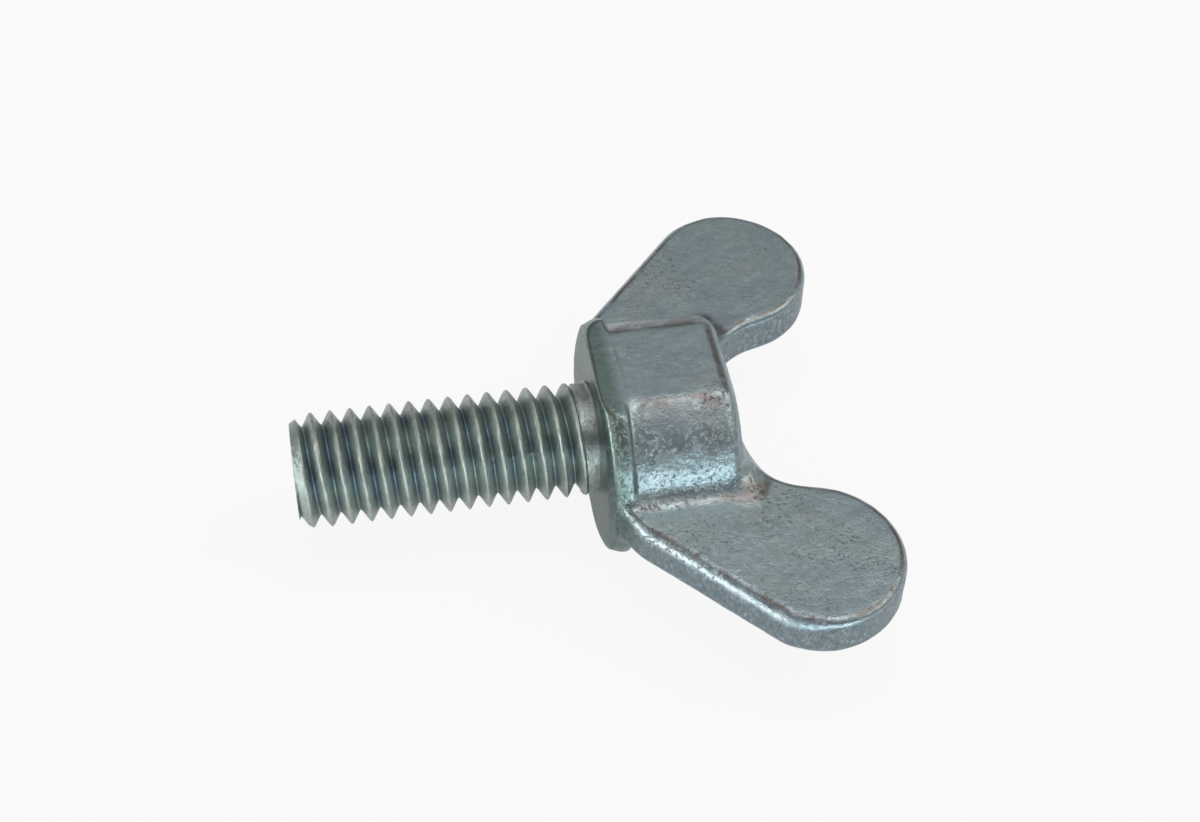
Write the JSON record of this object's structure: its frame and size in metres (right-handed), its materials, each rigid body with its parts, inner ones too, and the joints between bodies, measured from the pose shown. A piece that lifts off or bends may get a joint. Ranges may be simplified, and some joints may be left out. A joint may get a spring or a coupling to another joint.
{
  "type": "wing screw",
  "caption": "Forged screw with a round hub and two rounded wings, turned by finger and thumb to clamp or release a part without a tool.",
  "frame": {"origin": "on the screw's axis, in the plane of the bearing face under the hub", "axes": "+X along the screw's axis from the free end towards the wings, Y across the wings, +Z square to the wings and up as the screw lies on the lower flat of its hub"},
  "size_m": [0.0289, 0.0294, 0.01],
  "materials": {
    "zinc_plated_steel": "blue-grey zinc plating over forged and rolled steel, finely pitted on the head"
  },
  "bodies": {
    "root": {"wing_screw": "zinc_plated_steel"}
  },
  "joints": []
}
